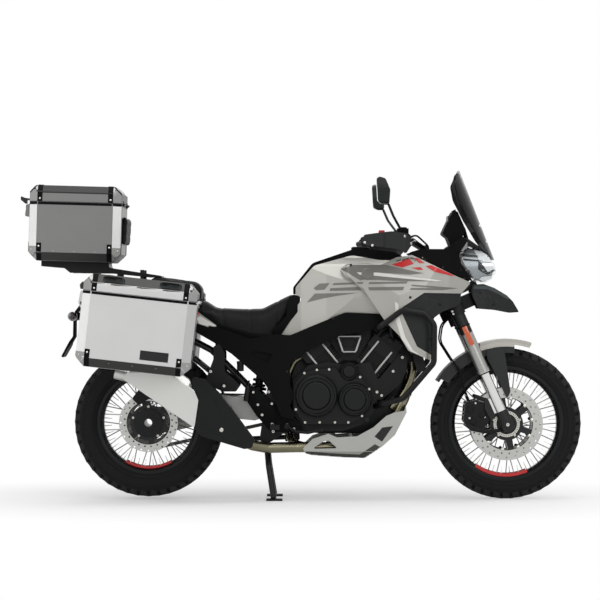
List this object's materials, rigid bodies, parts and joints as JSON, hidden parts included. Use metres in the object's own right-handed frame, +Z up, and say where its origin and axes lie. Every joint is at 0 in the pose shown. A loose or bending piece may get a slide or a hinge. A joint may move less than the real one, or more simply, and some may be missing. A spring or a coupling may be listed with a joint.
{
  "type": "adventure motorcycle",
  "caption": "Tall touring motorcycle with spoked wheels, a V-twin engine, crash bars, a screen and hard aluminium cases, parked on its centre stand.",
  "frame": {"origin": "on the floor, at the middle of the motorcycle's length and width", "axes": "+X forwards, +Y to the rider's left, +Z up"},
  "size_m": [2.4499, 1, 1.436],
  "materials": {
    "tyre_rubber": "matt black rubber",
    "black_rim": "satin black",
    "disc_steel": "ground steel",
    "sprocket_steel": "plain steel",
    "chain_steel": "oiled steel",
    "fork_metal": "satin anodised",
    "bar_metal": "satin black",
    "cast_black": "matt black",
    "grip_rubber": "matt black rubber",
    "black_plastic": "textured black",
    "dark_plastic": "satin dark grey",
    "silver_paint": "satin silver-grey paint",
    "caliper_black": "satin black",
    "engine_black": "satin black",
    "exhaust_steel": "heat-tinted steel",
    "muffler_steel": "satin steel",
    "radiator_black": "matt black",
    "frame_black": "satin black",
    "cast_silver": "cast aluminium",
    "spring_steel": "satin black",
    "lamp_lens": "clear lens over a bright bowl",
    "smoked_screen": "smoked",
    "seat_vinyl": "matt black vinyl",
    "red_lens": "red lens",
    "case_aluminium": "brushed",
    "skid_aluminium": "satin"
  },
  "bodies": {
    "chassis": {"drive_chain": "chain_steel", "crankcase": "engine_black", "engine_covers": "engine_black", "cylinders": "engine_black", "intake_body": "engine_black", "exhaust_pipes": "exhaust_steel", "muffler": "muffler_steel", "muffler_guard": "dark_plastic", "radiator": "radiator_black", "main_frame": "frame_black", "swingarm": "cast_silver", "rear_caliper": "caliper_black", "shock_absorber": "spring_steel", "fuel_tank": "silver_paint", "tank_spine": "black_plastic", "fairings": "silver_paint", "radiator_shrouds": "dark_plastic", "beak": "dark_plastic", "headlight": "lamp_lens", "cockpit_cowl": "black_plastic", "windscreen": "smoked_screen", "rider_seat": "seat_vinyl", "pillion_seat": "seat_vinyl", "frame_covers": "black_plastic", "tail_cowl": "silver_paint", "rear_lights": "red_lens", "plate_holder": "black_plastic", "right_pannier_body": "case_aluminium", "left_pannier_body": "case_aluminium", "top_box_body": "case_aluminium", "backrest_pad": "seat_vinyl", "luggage_racks": "frame_black", "skid_plate": "skid_aluminium", "crash_bars": "frame_black", "foot_pegs": "cast_black", "foot_levers": "cast_black", "pillion_pegs": "cast_black"},
    "fork": {"fork_legs": "fork_metal", "handlebar": "bar_metal", "triple_clamps": "cast_black", "grips": "grip_rubber", "bar_controls": "black_plastic", "hand_guards": "dark_plastic", "mirrors": "dark_plastic", "front_fender": "silver_paint", "front_calipers": "caliper_black", "brake_hoses": "grip_rubber"},
    "front_wheel": {"front_tyre": "tyre_rubber", "front_rim": "black_rim", "front_discs": "disc_steel"},
    "rear_wheel": {"rear_tyre": "tyre_rubber", "rear_rim": "black_rim", "rear_disc": "disc_steel", "rear_sprocket": "sprocket_steel"},
    "centre_stand": {"centre_stand": "frame_black"},
    "side_stand": {"side_stand": "frame_black"},
    "right_pannier_lid": {"right_pannier_lid": "case_aluminium"},
    "left_pannier_lid": {"left_pannier_lid": "case_aluminium"},
    "top_box_lid": {"top_box_lid": "case_aluminium"}
  },
  "joints": [
    {"name": "steering", "type": "hinge", "parent": "chassis", "child": "fork", "pos_m": [0.86677, 0, 0.31598], "axis": [-0.4067, 0, 0.9135], "range_deg": [-35, 35]},
    {"name": "front_wheel_spin", "type": "hinge", "parent": "fork", "child": "front_wheel", "pos_m": [0.896, 0, 0.329], "axis": [0, 1, 0], "continuous": true},
    {"name": "rear_wheel_spin", "type": "hinge", "parent": "chassis", "child": "rear_wheel", "pos_m": [-0.664, 0, 0.335], "axis": [0, 1, 0], "continuous": true},
    {"name": "centre_stand_fold", "type": "hinge", "parent": "chassis", "child": "centre_stand", "pos_m": [-0.152, 0, 0.27], "axis": [0, 1, 0], "range_deg": [0, 75]},
    {"name": "side_stand_fold", "type": "hinge", "parent": "chassis", "child": "side_stand", "pos_m": [-0.03, 0.13, 0.264], "axis": [-0.0474, -0.9305, -0.3632], "range_deg": [0, 90]},
    {"name": "right_pannier_lid_hinge", "type": "hinge", "parent": "chassis", "child": "right_pannier_lid", "pos_m": [-0.43, -0.395, 0.85818], "axis": [0, 1, 0], "range_deg": [0, 100]},
    {"name": "left_pannier_lid_hinge", "type": "hinge", "parent": "chassis", "child": "left_pannier_lid", "pos_m": [-0.43, 0.395, 0.85818], "axis": [0, 1, 0], "range_deg": [0, 100]},
    {"name": "top_box_lid_hinge", "type": "hinge", "parent": "chassis", "child": "top_box_lid", "pos_m": [-0.76608, 0, 1.28378], "axis": [0, 1, 0], "range_deg": [0, 100]}
  ]
}
